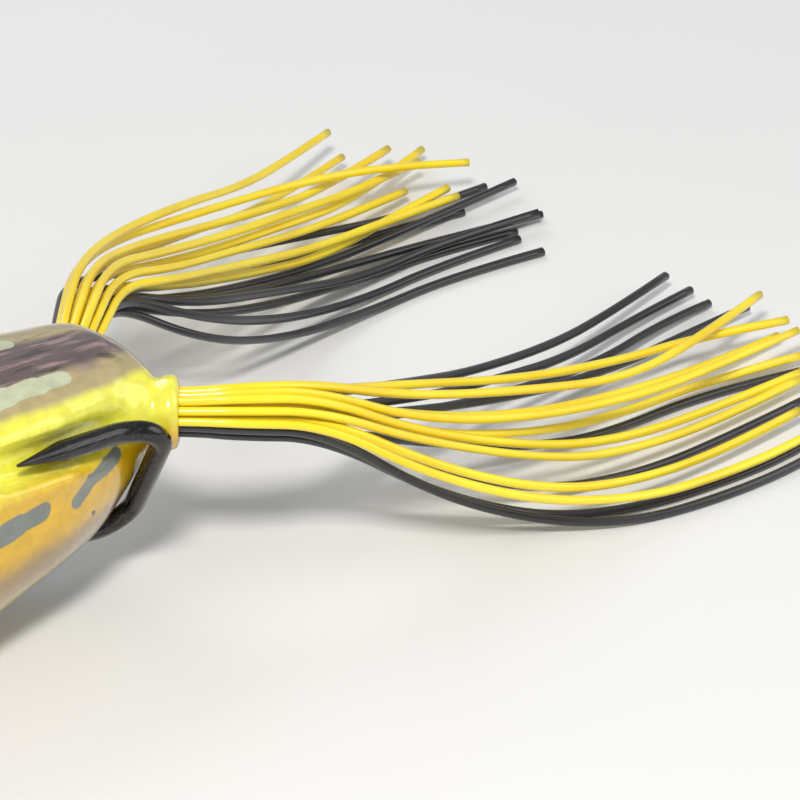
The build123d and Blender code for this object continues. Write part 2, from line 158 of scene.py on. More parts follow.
# name, seat in the port (steps across, rows up), and the points that the free length passes
LEFT_STRANDS = [
    ("yellow_1", (1.5, 1), [(52.5, -8.9, 10.4), (63.8, -8.8, 6.8), (75.8, -7.7, 3.8), (85.5, -7.8, 2.8),
                            (93.2, -9.9, 2.4)]),
    ("yellow_2", (1, 2), [(50, -11, 11), (61.2, -11.3, 7.6), (72.4, -11.6, 4.8), (81.9, -10.1, 4.2),
                          (93.4, -6.4, 3.4)]),
    ("yellow_3", (0.5, 1), [(49.2, -12.3, 10), (60.5, -12.2, 6), (72.5, -11.1, 3.2), (82.8, -10.8, 2),
                            (92.2, -9.7, 1.2)]),
    ("yellow_4", (0, 2), [(47.8, -14.1, 11), (59.5, -14.5, 7), (72.4, -14.2, 4.4), (82.3, -13.2, 3.4),
                          (91.6, -12.6, 3)]),
    ("yellow_5", (-0.5, 1), [(48.9, -13.8, 9), (61.8, -13.5, 4.5), (72.3, -12.1, 2), (81.6, -11.5, 1.2),
                             (91.4, -13.6, 1.2)]),
    ("yellow_6", (-1, 2), [(47.7, -14.6, 10), (59.7, -16.1, 5), (68.4, -15.9, 2.5), (77.6, -15.8, 1.5),
                           (88.8, -16.1, 1.5)]),
    ("yellow_7", (-1.5, 1), [(47, -15.4, 9.8), (60.4, -17.3, 4), (69.1, -17.6, 2.2), (78.3, -17.5, 1.5),
                             (87.6, -16.9, 1.5)]),
    ("yellow_8", (-1, 0), [(47.2, -17, 8.2), (55.2, -20.2, 4.5), (63.1, -21.4, 2.5), (73.8, -21.6, 1.5),
                           (83.7, -20.7, 1.5)]),
    ("yellow_9", (-2, 0), [(44.8, -18.5, 9), (53.8, -22, 4.6), (63.7, -23.6, 2), (71.7, -24.3, 1.5),
                           (79.9, -24.5, 1.5),
                           (86.8, -23.4, 1.5)]),
    ("black_1", (2, 0), [(44.6, -7.8, 12), (57, -4.8, 7.5), (64.5, -2.8, 5), (74.7, -0.9, 3),
                         (83.3, 1.4, 2),
                         (92.6, 4, 1.5)]),
    ("black_2", (1.5, -1), [(57.3, -5.7, 6.4), (66.4, -3.7, 4), (75.4, -2, 2), (86.3, 0.8, 1),
                            (93, 1.4, 1)]),
    ("black_3", (1, -2), [(56.1, -6.6, 5.8), (67.7, -5, 3), (78.3, -3.2, 1.2), (86.8, -1.4, 1),
                          (93.1, -0.7, 0.5)]),
    ("black_4", (0.5, -1), [(55.3, -7.7, 6.6), (68.9, -6.3, 3), (78.9, -5.1, 1.4), (87.8, -4.2, 1),
                            (94.4, -4, 1)]),
    ("black_5", (0, -2), [(53.4, -9.6, 5), (63.4, -10.7, 1.5), (70.3, -11.7, 0.5), (81.5, -12, 0.4),
                          (90.2, -14.4, 0.4)]),
    ("black_6", (-0.5, -1), [(49.5, -13.4, 6), (58.6, -16.4, 1.5), (66.9, -18.1, 0.5),
                             (75.4, -18.9, 0.5), (86.8, -18.3, 0.5)]),
    ("black_7", (-1.5, -1), [(47.9, -16.1, 5), (56.2, -20.4, 1.2), (62.6, -23.9, 0.4), (70.4, -25.5, 0.4),
                             (79.1, -25.8, 0.4), (86, -24.7, 0.4)]),
    ("black_8", (-1, -2), [(48.6, -15.3, 4.6), (56.6, -18.5, 0.8), (63, -21.9, 0.4), (71.4, -23.7, 0.4),
                           (80.5, -24.1, 0.4), (87.5, -22.5, 0.4)]),
]
RIGHT_STRANDS = [
    ("yellow_1", (1.5, 1), [(48.9, 24.6, 11.8), (63.9, 30.1, 7.6), (76, 32.1, 5.5), (85.1, 31.2, 4.4),
                            (92.1, 28.2, 3.6)]),
    ("yellow_2", (1, 2), [(48.7, 23.6, 13), (60.6, 29.2, 9.6), (70.3, 33.8, 6.2), (78.3, 37.7, 4.2),
                          (87.8, 41.8, 3)]),
    ("yellow_3", (0.5, 1), [(48.9, 22, 11.5), (60.2, 27.3, 8), (69.9, 31.9, 4.6), (78.9, 36.1, 2.6),
                            (87.3, 39.4, 1.6)]),
    ("yellow_4", (0, 2), [(48.7, 21, 12.8), (59.3, 25.4, 9.2), (69.8, 29.3, 6), (79.3, 32.9, 3.4),
                          (90.3, 36.7, 2.4)]),
    ("yellow_5", (-0.5, 1), [(48.8, 19.5, 11.4), (58.9, 23.5, 8), (71, 27.5, 5), (80.9, 31, 2.4),
                             (93.7, 36, 1.5)]),
    ("yellow_6", (-1, 2), [(49.8, 19.2, 12.4), (60.5, 23.6, 8.8), (71.5, 27.4, 6), (80.8, 30.5, 3.6),
                           (90.6, 33.1, 2.4)]),
    ("yellow_7", (-1.5, 1), [(50, 17.7, 11.5), (60.1, 22.2, 8), (70.2, 26.2, 4.6), (78.5, 29, 2.6),
                             (87, 30.8, 1.5)]),
    ("yellow_8", (-2, 0), [(47.3, 14.7, 12.5), (59.7, 20.2, 7.6), (70.8, 24, 4), (80.5, 26.5, 2.2),
                           (89.8, 27.1, 1.5)]),
    ("yellow_9", (-1, 0), [(48.4, 16.1, 10.9), (60.4, 20.9, 6.2), (71.4, 24.5, 2.6), (81.1, 27.1, 1.8),
                           (90.1, 28.7, 1.6)]),
    ("black_1", (2, 0), [(50.6, 20.6, 10), (64, 25.9, 5.5), (75.3, 28.6, 2.2), (85, 28.6, 0.6),
                         (94.1, 28.2, 0.6)]),
    ("black_2", (1.5, -1), [(48.7, 19, 9.6), (61.5, 23.9, 4.4), (73.6, 27.7, 1), (82.3, 27.7, 0.4),
                            (89.6, 26.1, 0.4)]),
    ("black_3", (1, -2), [(48.3, 17, 9.4), (61.6, 21.9, 4.4), (73, 25, 1.5), (84.4, 25.7, 1.2),
                          (95.8, 26.3, 1.2)]),
    ("black_4", (0.5, -1), [(49.1, 15.8, 9.4), (60.8, 20.5, 4.6), (73.3, 24, 1.2), (83.4, 23.4, 0.5),
                            (94.2, 21.1, 0.5)]),
    ("black_5", (0, -2), [(48.9, 14.8, 8.6), (61, 19.1, 3.6), (73.5, 22.4, 0.5), (82.6, 21.9, 0.4),
                          (90.4, 20.2, 0.4)]),
    ("black_6", (-1.5, -1), [(48.9, 12.8, 9), (60.5, 16.5, 3.5), (71.8, 19.2, 0.5), (81.1, 19.8, 0.4),
                             (89.6, 19, 0.4)]),
    ("black_7", (-0.5, -1), [(48.8, 14.4, 9.8), (61.9, 18.5, 5), (73.2, 20.9, 1.5), (83.6, 21.8, 1.2),
                             (93, 20.3, 1.3)]),
    ("black_8", (-1, -2), [(48.4, 12.4, 7.4), (59.7, 15.5, 2.4), (70.9, 17.4, 0.4), (80.6, 17.6, 0.4),
                           (89.5, 15.9, 0.4)]),
]
STRANDS = {"left": LEFT_STRANDS, "right": RIGHT_STRANDS}

CAMERA_TARGET = (0.04287, -0.01760, 0.01582)
CAMERA_AZIMUTH = -42.0
CAMERA_ELEVATION = 28.0
CAMERA_DISTANCE = 0.5
CAMERA_LENS = 292.5
FLOOR_HALF = 900


# ---------------------------------------------------------------- smooth field of the soft body
def blend_union(a, b, k):
    """Union of two distance fields with a fillet of size k."""
    h = np.clip(0.5 + 0.5 * (b - a) / k, 0, 1)
    return b + (a - b) * h - k * h * (1 - h)


def blend_cut(a, b, k):
    """Field a with field b taken out, edges rounded by k."""
    return -blend_union(-a, b, k)


def smooth_curve(x, xs, ys):
    """Monotone cubic through the stations, so that no section bulges past its neighbours."""
    xs = np.asarray(xs, float)
    ys = np.asarray(ys, float)
    run = np.diff(xs)
    slope = np.diff(ys) / run
    inner = np.zeros(len(slope) - 1)
    same = slope[:-1] * slope[1:] > 0
    inner[same] = 2 * slope[:-1][same] * slope[1:][same] / (slope[:-1] + slope[1:])[same]
    tangent = np.concatenate([[slope[0]], inner, [slope[-1]]])
    x = np.clip(x, xs[0], xs[-1])
    i = np.clip(np.searchsorted(xs, x) - 1, 0, len(run) - 1)
    t = (x - xs[i]) / run[i]
    a = (2 * t ** 3 - 3 * t ** 2 + 1) * ys[i]
    b = (t ** 3 - 2 * t ** 2 + t) * run[i] * tangent[i]
    c = (-2 * t ** 3 + 3 * t ** 2) * ys[i + 1]
    d = (t ** 3 - t ** 2) * run[i] * tangent[i + 1]
    return a + b + c + d


STATIONS = np.array(BODY_STATIONS)


def body_field(p):
    """Signed distance, near enough, from the plain body without ports or hollows."""
    x, y, z = p[..., 0], p[..., 1], p[..., 2]
    width = np.sqrt(np.maximum(smooth_curve(x, STATIONS[:, 0], STATIONS[:, 1] ** 2), 0.0025))
    half = (STATIONS[:, 3] - STATIONS[:, 2]) / 2
    height = np.sqrt(np.maximum(smooth_curve(x, STATIONS[:, 0], half ** 2), 0.0025))
    middle = smooth_curve(x, STATIONS[:, 0], (STATIONS[:, 3] + STATIONS[:, 2]) / 2)
    up = z - middle
    power = np.where(up > 0, BACK_POWER, BELLY_POWER)
    across = np.abs(y / width) ** power
    rho = (across + np.abs(up / height) ** power) ** (1 / power)
    reach = np.sqrt(y ** 2 + up ** 2)
    side = reach * (1 - 1 / np.maximum(rho, 0.05))
    side = np.where(rho < 0.05, -np.minimum(width, height), side)
    front = NOSE_X - x
    tail = x - STATIONS[-1, 0]
    return np.maximum(blend_cut(side, -front, NOSE_ROUND), tail)


def sphere_field(p, centre, radius):
    return np.linalg.norm(p - np.array(centre), axis=-1) - radius


def capsule_field(p, start, end, radius):
    start = np.array(start, float)
    run = np.array(end, float) - start
    t = np.clip(((p - start) @ run) / (run @ run), 0, 1)
    return np.linalg.norm(p - start - t[..., None] * run, axis=-1) - radius


def box_field(p, centre, half, round_by):
    q = np.abs(p - np.array(centre)) - np.array(half) + round_by
    outside = np.linalg.norm(np.maximum(q, 0), axis=-1)
    return outside + np.minimum(q.max(axis=-1), 0) - round_by


def axis_coordinates(p, origin, direction):
    """Distance along an axis and away from it."""
    direction = np.array(direction, float)
    direction = direction / np.linalg.norm(direction)
    along = (p - np.array(origin)) @ direction
    away = np.linalg.norm(p - np.array(origin) - along[..., None] * direction, axis=-1)
    return along, away


def rod_field(along, away, radius, span):
    """Rod round an axis, its span along the axis given as the middle and half length."""
    middle, half = span
    return np.maximum(away - radius, np.abs(along - middle) - half)


def port_axis(side):
    yaw = math.radians(side * PORT_YAW)
    return (PORT[0], side * PORT[1], PORT[2]), (math.cos(yaw), math.sin(yaw), 0.0)


def port_field(p, side):
    """Waisted neck with a rolled lip, flaring into the body."""
    along, away = axis_coordinates(p, *port_axis(side))
    lip = np.hypot(np.maximum(away - LIP_RING_R, 0), along + LIP_SETBACK) - LIP_R
    neck = rod_field(along, away, NECK_R, NECK_SPAN)
    flare = FLARE_R + FLARE_GROWTH * np.clip((-along - FLARE_START) / FLARE_RUN, 0, 1)
    root = rod_field(along, away, flare, ROOT_SPAN)
    return blend_union(blend_union(lip, neck, LIP_FILLET), root, ROOT_FILLET)


def mirrored(point, side):
    return (point[0], side * point[1], point[2])


def shell_field(p):
    """The moulded shell: body, ports and brows joined softly, then its hollows taken out."""
    plain = body_field(p)
    skin = plain
    hollow = np.maximum(plain + WALL, np.maximum(CAVITY[0] - p[..., 0], p[..., 0] - CAVITY[1]))
    for side in (-1, 1):
        brow = sphere_field(p, mirrored(EYE_CENTRE, side), EYE_BROW_R)
        skin = blend_union(skin, brow, BROW_FILLET)
        skin = blend_union(skin, port_field(p, side), PORT_FILLET)
        skin = blend_union(skin, capsule_field(p, *rim_ends(side), RIM_R), RIM_FILLET)
        along, away = axis_coordinates(p, *port_axis(side))
        hollow = np.maximum(hollow, -rod_field(along, away, ROOT_WALL_R, ROOT_SPAN))
        pocket = capsule_field(p, *pocket_ends(side), POCKET_R + POCKET_WALL)
        hollow = np.maximum(hollow, -pocket)
    skin = blend_cut(skin, hollow, HOLLOW_ROUND)
    cup = np.linalg.norm((p - np.array((NOSE_X, 0, NOSE_MIDDLE_Z))) / np.array(CUP_RADII), axis=-1)
    skin = blend_cut(skin, (cup - 1) * min(CUP_RADII), CUP_ROUND)
    section = p * np.array((0, 1, 1))
    left_shank, right_shank = (0, -SHANK_Y, SHANK_Z), (0, SHANK_Y, SHANK_Z)
    wire_hole = capsule_field(section, left_shank, right_shank, WIRE_D / 2 + WIRE_PLAY)
    wire_hole = np.maximum(wire_hole, p[..., 0] - WIRE_HOLE_END)
    skin = blend_cut(skin, wire_hole, WIRE_HOLE_ROUND)
    for side in (-1, 1):
        along, away = axis_coordinates(p, *port_axis(side))
        skin = blend_cut(skin, rod_field(along, away, PORT_BORE_R, BORE_SPAN), BORE_ROUND)
        skin = blend_cut(skin, rod_field(along, away, BAND_SEAT_R, BAND_SPAN), BAND_SEAT_ROUND)
        along, away = axis_coordinates(p, mirrored(EYE_CENTRE, side), mirrored(EYE_NORMAL, side))
        skin = blend_cut(skin, np.maximum(away - EYE_R, EYE_SEAT - along), EYE_SEAT_ROUND)
        skin = blend_cut(skin, capsule_field(p, *pocket_ends(side), POCKET_R), POCKET_ROUND)
    tail_slot = box_field(p, TAIL_SLOT_CENTRE, TAIL_SLOT_HALF, TAIL_SLOT_ROUND)
    skin = blend_cut(skin, tail_slot, TAIL_SLOT_EDGE_ROUND)
    return blend_cut(skin, p[..., 2], REST_ROUND)


def hook_line(side):
    """The hook's point, and the direction from there to its shoulder."""
    point = np.array(mirrored(HOOK_POINT, side))
    shoulder = np.array(mirrored(HOOK_SHOULDER, side))
    return point, (shoulder - point) / np.linalg.norm(shoulder - point)


def pocket_ends(side):
    """Ends of the pocket in the flank that takes the hook's point."""
    point, along = hook_line(side)
    return point - along * POCKET_BEHIND, point + along * POCKET_AHEAD


def rim_ends(side):
    """Ends of the soft swelling round the pocket, its axis sunk under the skin."""
    point, along = hook_line(side)
    sunk = point - np.array(mirrored(RIM_OUTWARD, side)) * RIM_DEPTH
    return sunk - along * RIM_AHEAD, sunk + along * RIM_BEHIND


def surface_of(field, low, high, step):
    """Closed quad mesh of field = 0: one vertex per crossed cell, then moved onto the surface."""
    axes = [np.arange(a, b + step, step) for a, b in zip(low, high)]
    grid = np.stack(np.meshgrid(*axes, indexing="ij"), axis=-1)
    value = field(grid)
    inside = value < 0
    count = np.zeros(np.array(value.shape) - 1)
    total = np.zeros(tuple(np.array(value.shape) - 1) + (3,))
    for axis in range(3):
        lower = [slice(None)] * 3
        upper = [slice(None)] * 3
        lower[axis] = slice(0, -1)
        upper[axis] = slice(1, None)
        a, b = value[tuple(lower)], value[tuple(upper)]
        crossed = inside[tuple(lower)] != inside[tuple(upper)]
        t = np.where(crossed, a / np.where(crossed, a - b, 1), 0)
        place = grid[tuple(lower)].copy()
        place[..., axis] += t * step
        others = [k for k in range(3) if k != axis]
        for da in (0, 1):
            for db in (0, 1):
                pick = [slice(None)] * 3
                for other, shift in zip(others, (da, db)):
                    pick[other] = slice(shift, place.shape[other] - 1 + shift)
                hit = crossed[tuple(pick)]
                count += hit
                total += place[tuple(pick)] * hit[..., None]
    used = count > 0
    index = np.full(count.shape, -1)
    index[used] = np.arange(used.sum())
    vertices = total[used] / count[used][:, None]
    faces = []
    for axis in range(3):
        b, c = [k for k in range(3) if k != axis]
        lower = [slice(1, -1)] * 3
        upper = [slice(1, -1)] * 3
        lower[axis] = slice(0, -1)
        upper[axis] = slice(1, None)
        start, stop = inside[tuple(lower)], inside[tuple(upper)]
        places = np.argwhere(start != stop)
        cell = places + 1
        cell[:, axis] -= 1
        corners = []
        for db, dc in ((1, 1), (0, 1), (0, 0), (1, 0)):
            at = cell.copy()
            at[:, b] -= db
            at[:, c] -= dc
            corners.append(index[at[:, 0], at[:, 1], at[:, 2]])
        quads = np.stack(corners, axis=1)
        outward = start[start != stop] == (axis != 1)
        quads[~outward] = quads[~outward][:, ::-1]
        faces.append(quads)
    for _ in range(SURFACE_PASSES):
        vertices = onto_surface(field, vertices, step)
    return vertices, np.concatenate(faces)


def onto_surface(field, points, step):
    """One Newton step towards field = 0."""
    reach = 0.05
    value = field(points)
    slope = np.zeros_like(points)
    for axis in range(3):
        shift = np.zeros(3)
        shift[axis] = reach
        slope[:, axis] = (field(points + shift) - field(points - shift)) / (2 * reach)
    size = np.maximum((slope ** 2).sum(axis=1), 0.04)
    move = -(value / size)[:, None] * slope
    length = np.linalg.norm(move, axis=1)
    limit = np.minimum(1, 0.5 * step / np.maximum(length, 1e-9))
    return points + move * limit[:, None]


def mesh_object(name, vertices, faces, smooth=True):
    """New object from millimetre vertices."""
    mesh = bpy.data.meshes.new(name)
    mesh.from_pydata((np.asarray(vertices) * MM).tolist(), [], [list(map(int, f)) for f in faces])
    mesh.update()
    if smooth:
        mesh.polygons.foreach_set("use_smooth", [True] * len(mesh.polygons))
    obj = bpy.data.objects.new(name, mesh)
    bpy.context.scene.collection.objects.link(obj)
    return obj


# ---------------------------------------------------------------- material helpers
class Nodes:
    """Short way to write a node tree."""

    def __init__(self, name):
        self.material = bpy.data.materials.new(name)
        self.material.use_nodes = True
        self.tree = self.material.node_tree
        self.shader = self.tree.nodes["Principled BSDF"]
        coordinates = self.add("ShaderNodeTexCoord")
        scale = self.add("ShaderNodeVectorMath", operation="SCALE")
        scale.inputs["Scale"].default_value = 1 / MM
        self.link(coordinates.outputs["Object"], scale.inputs[0])
        self.place = scale.outputs[0]

    def add(self, kind, **settings):
        node = self.tree.nodes.new(kind)
        for key, value in settings.items():
            setattr(node, key, value)
        return node

    def link(self, a, b):
        self.tree.links.new(a, b)

    def feed(self, socket, value):
        if isinstance(value, (int, float, tuple, list)):
            socket.default_value = value
        else:
            self.link(value, socket)

    def math(self, operation, a, b=0.0, c=None, clamp=False):
        node = self.add("ShaderNodeMath", operation=operation, use_clamp=clamp)
        self.feed(node.inputs[0], a)
        self.feed(node.inputs[1], b)
        if c is not None:
            self.feed(node.inputs[2], c)
        return node.outputs[0]

    def vector(self, operation, a, b=(0, 0, 0)):
        node = self.add("ShaderNodeVectorMath", operation=operation)
        self.feed(node.inputs[0], a)
        self.feed(node.inputs[1], b)
        single = operation in ("LENGTH", "DISTANCE", "DOT_PRODUCT")
        return node.outputs["Value"] if single else node.outputs[0]

    def split(self, vector):
        node = self.add("ShaderNodeSeparateXYZ")
        self.link(vector, node.inputs[0])
        return node.outputs

    def join(self, x, y, z):
        node = self.add("ShaderNodeCombineXYZ")
        for socket, value in zip(node.inputs, (x, y, z)):
            self.feed(socket, value)
        return node.outputs[0]

    def noise(self, scale, detail=3.0, place=None, roughness=0.5):
        node = self.add("ShaderNodeTexNoise")
        node.inputs["Scale"].default_value = scale
        node.inputs["Detail"].default_value = detail
        node.inputs["Roughness"].default_value = roughness
        self.link(self.place if place is None else place, node.inputs["Vector"])
        return node.outputs["Fac"]

    def range(self, value, low, high, to_low=0.0, to_high=1.0, smooth=True):
        node = self.add("ShaderNodeMapRange", interpolation_type="SMOOTHSTEP" if smooth else "LINEAR")
        self.feed(node.inputs["Value"], value)
        self.feed(node.inputs["From Min"], low)
        self.feed(node.inputs["From Max"], high)
        self.feed(node.inputs["To Min"], to_low)
        self.feed(node.inputs["To Max"], to_high)
        return node.outputs["Result"]

    def mix(self, factor, a, b, blend="MIX"):
        node = self.add("ShaderNodeMix", data_type="RGBA", blend_type=blend)
        self.feed(node.inputs["Factor"], factor)
        self.feed(node.inputs[6], a)
        self.feed(node.inputs[7], b)
        return node.outputs[2]

    def ramp(self, value, stops):
        node = self.add("ShaderNodeValToRGB")
        node.color_ramp.interpolation = "EASE"
        points = node.color_ramp.elements
        while len(points) < len(stops):
            points.new(0.5)
        for point, (at, color) in zip(points, stops):
            point.position = at
            point.color = color
        self.feed(node.inputs[0], value)
        return node.outputs["Color"]

    def bump(self, height, strength, distance):
        node = self.add("ShaderNodeBump")
        node.inputs["Strength"].default_value = strength
        node.inputs["Distance"].default_value = distance
        self.link(height, node.inputs["Height"])
        self.link(node.outputs["Normal"], self.shader.inputs["Normal"])

    def color(self, value):
        self.feed(self.shader.inputs["Base Color"], value)

    def set(self, **values):
        for key, value in values.items():
            self.feed(self.shader.inputs[key.replace("_", " ")], value)


def rgb(r, g, b):
    return (r, g, b, 1.0)


def dress(obj, material):
    obj.data.materials.clear()
    obj.data.materials.append(material)


# ---------------------------------------------------------------- paint of the body
STRIPE = rgb(0.120, 0.088, 0.082)
STRIPE_PINK = rgb(0.30, 0.20, 0.20)
STRIPE_DARK = rgb(0.060, 0.042, 0.040)
TAN = rgb(0.42, 0.345, 0.17)
LEMON = rgb(0.82, 0.79, 0.075)
GOLD = rgb(0.70, 0.415, 0.005)
BROWN_TAN = rgb(0.34, 0.21, 0.075)
BELLY = rgb(0.38, 0.30, 0.085)
SPOT_PALE = rgb(0.50, 0.53, 0.36)
# the pale spot colour darkened for the spots low on the flank: painted shade, not a second paint
SPOT_PAINTED_SHADE = rgb(0.17, 0.19, 0.17)
FLECK = rgb(0.12, 0.02, 0.01)

# spots: ends (x, degrees round the section, 0 at the flank and 90 on the back), radius and paint;
# this pattern is the same on both sides; the spots low on the flank take the pale spot colour darkened as
# painted shade
SPOTS = [
    ((8.0, 66), (14.5, 65), 0.98, SPOT_PALE),
    ((14.5, 65), (17.5, 63), 0.80, SPOT_PALE),
    ((17.5, 63), (20.3, 61), 0.62, SPOT_PALE),
    ((23.1, 5.8), (21.6, 5.3), 0.66, SPOT_PAINTED_SHADE),
    ((21.6, 5.3), (19.2, 4.6), 0.58, SPOT_PAINTED_SHADE),
    ((19.2, 4.6), (17.7, 1.8), 0.74, SPOT_PAINTED_SHADE),
    ((8.0, 8.5), (11.5, 7.0), 0.92, SPOT_PAINTED_SHADE),
    ((11.5, 7.0), (14.0, 6.3), 0.80, SPOT_PAINTED_SHADE),
    ((19.8, -12.0), (20.0, -13.5), 0.17, FLECK),
    ((-3.5, 52), (2.5, 57), 0.95, SPOT_PALE),
    ((-11.5, 66), (-7.5, 60), 0.75, SPOT_PALE),
    ((-1.0, 9), (3.5, 4), 0.80, SPOT_PAINTED_SHADE),
    ((-9.0, 3), (-5.2, 9), 0.72, SPOT_PAINTED_SHADE),
    ((-18.0, 4), (-14.5, 8), 0.60, SPOT_PAINTED_SHADE),
]
RIGHT_STREAK = ((12.5, 85), (18.9, 86), 0.80)    # a pale streak beside the stripe, on the right only
STRIPE_SHIFT = 1.8                               # the sprayed stripe sits this far left of the middle
STRIPE_SHIFT_Z = (17.0, 20.5)                    # the shift grows from none to all between these heights
STRIPE_WIDER = 5.0                               # degrees by which the stripe is wider ahead of the tail
PAINT_MIDDLE_Z = 10.6
SPOT_SOFT = 0.08
SPOT_WOBBLE = 0.55


def skin_point(x, degrees):
    """Point of the plain body's skin on the side of positive y."""
    width, low, high = (float(smooth_curve(x, STATIONS[:, 0], STATIONS[:, k])) for k in (1, 2, 3))
    turn = math.radians(abs(degrees))
    power = 2 / (BACK_POWER if degrees > 0 else BELLY_POWER)
    rise = math.copysign(math.sin(turn) ** power, degrees) * (high - low) / 2
    return (x, width * max(math.cos(turn), 0) ** power, (high + low) / 2 + rise)


def spot_mask(n, start, end, radius, both_sides=True):
    """1 inside a capsule between two points, mirrored across the middle plane or not."""
    x, y, z = n.split(n.place)
    place = n.join(x, n.math("ABSOLUTE", y), z) if both_sides else n.place
    wobble = n.math("MULTIPLY", n.math("SUBTRACT", n.noise(0.4, 2.0), 0.5), SPOT_WOBBLE)
    run = Vector(end) - Vector(start)
    offset = n.vector("SUBTRACT", place, tuple(start))
    along = n.math("DIVIDE", n.vector("DOT_PRODUCT", offset, tuple(run)), run.length_squared, clamp=True)
    step = n.add("ShaderNodeVectorMath", operation="SCALE")
    step.inputs[0].default_value = tuple(run)
    n.link(along, step.inputs["Scale"])
    away = n.vector("DISTANCE", offset, step.outputs[0])
    return n.range(n.math("ADD", away, wobble), radius - SPOT_SOFT, radius + SPOT_SOFT, 1.0, 0.0)


def body_material():
    n = Nodes("lure_paint")
    x, y, z = n.split(n.place)
    shift = n.range(z, *STRIPE_SHIFT_Z, 0.0, STRIPE_SHIFT)
    width = n.math("ABSOLUTE", n.math("ADD", y, shift))
    drift = n.math("MULTIPLY", n.math("SUBTRACT", n.noise(0.16, 3.0), 0.5), 14.0)
    angle = n.math("ARCTAN2", n.math("SUBTRACT", z, PAINT_MIDDLE_Z), n.math("MULTIPLY", width, 1.04))
    degrees = n.math("ADD", n.math("MULTIPLY", angle, 180 / math.pi), drift)
    # the dark stripe is wider ahead of the tail
    wider = n.math("MULTIPLY", n.range(x, 15.0, 27.0, STRIPE_WIDER, 0.0), n.range(degrees, 58.0, 74.0))
    degrees = n.math("ADD", degrees, wider)
    around = n.range(degrees, -90.0, 90.0, smooth=False)
    base = n.ramp(around, [
        (0.0, BELLY), (0.34, BELLY), (0.39, BROWN_TAN), (0.44, BROWN_TAN), (0.52, GOLD), (0.62, GOLD),
        (0.69, LEMON), (0.83, LEMON), (0.88, TAN), (0.93, TAN), (0.965, STRIPE), (1.0, STRIPE),
    ])
    streaks = n.noise(1.0, 4.0, n.vector("MULTIPLY", n.place, (0.16, 1.5, 1.0)))
    on_back = n.range(around, 0.90, 0.97)
    color = n.mix(n.math("MULTIPLY", n.range(streaks, 0.53, 0.66), on_back), base, STRIPE_PINK)
    color = n.mix(n.math("MULTIPLY", n.range(streaks, 0.46, 0.36), on_back), color, STRIPE_DARK)
    for start, end, radius, paint in SPOTS:
        mask = spot_mask(n, skin_point(*start), skin_point(*end), radius)
        color = n.mix(mask, color, paint)
    start, end, radius = RIGHT_STREAK
    mask = spot_mask(n, skin_point(*start), skin_point(*end), radius, both_sides=False)
    color = n.mix(mask, color, SPOT_PALE)
    mottle = n.range(n.noise(0.9, 4.0), 0.3, 0.7, 0.90, 1.06)
    color = n.mix(1.0, color, n.join(mottle, mottle, mottle), "MULTIPLY")
    n.color(color)
    n.set(Roughness=n.range(n.noise(1.4, 4.0), 0.3, 0.7, 0.16, 0.26), IOR=1.5, Coat_Weight=0.75,
          Coat_Roughness=0.08, Subsurface_Weight=0.08, Subsurface_Radius=(0.9, 0.5, 0.2),
          Subsurface_Scale=0.001)
    n.bump(n.noise(3.2, 5.0), 0.08, 0.0002)
    return n.material


# ---------------------------------------------------------------- other materials
def wire_material():
    """Black nickel: almost black, polished, with faint drawn lines."""
    n = Nodes("black_nickel")
    lines = n.noise(1.0, 4.0, n.vector("MULTIPLY", n.place, (0.5, 6.0, 6.0)))
    n.color(n.mix(n.range(lines, 0.35, 0.75), rgb(0.018, 0.017, 0.018), rgb(0.055, 0.050, 0.048)))
    n.set(Metallic=0.85, Roughness=n.range(lines, 0.3, 0.7, 0.16, 0.30), Coat_Weight=0.6,
          Coat_Roughness=0.05)
    n.bump(lines, 0.05, 0.0001)
    return n.material


def silicone_material(name, dark, light, roughness):
    """Smooth moulded silicone, a little uneven in colour and gloss."""
    n = Nodes(name)
    patches = n.noise(0.12, 1.0)
    n.color(n.mix(n.range(patches, 0.3, 0.7), dark, light))
    n.set(Roughness=n.range(patches, 0.3, 0.7, roughness - 0.03, roughness + 0.04), Coat_Weight=0.5,
          Coat_Roughness=0.2)
    return n.material


def lead_material():
    n = Nodes("cast_lead")
    grain = n.noise(1.6, 6.0)
    n.color(n.mix(n.range(grain, 0.35, 0.65), rgb(0.16, 0.165, 0.18), rgb(0.34, 0.345, 0.36)))
    n.set(Metallic=0.8, Roughness=n.range(grain, 0.3, 0.7, 0.45, 0.65))
    n.bump(grain, 0.3, 0.0003)
    return n.material


def braze_material():
    n = Nodes("solder")
    grain = n.noise(2.5, 4.0)
    n.color(n.mix(grain, rgb(0.42, 0.36, 0.22), rgb(0.62, 0.56, 0.40)))
    n.set(Metallic=0.95, Roughness=n.range(grain, 0.3, 0.7, 0.25, 0.45))
    n.bump(grain, 0.2, 0.0002)
    return n.material


def band_material():
    n = Nodes("band_rubber")
    grain = n.noise(4.0, 4.0)
    n.color(n.mix(grain, rgb(0.02, 0.02, 0.02), rgb(0.06, 0.06, 0.06)))
    n.set(Roughness=n.range(grain, 0.3, 0.7, 0.5, 0.75))
    n.bump(grain, 0.2, 0.0002)
    return n.material


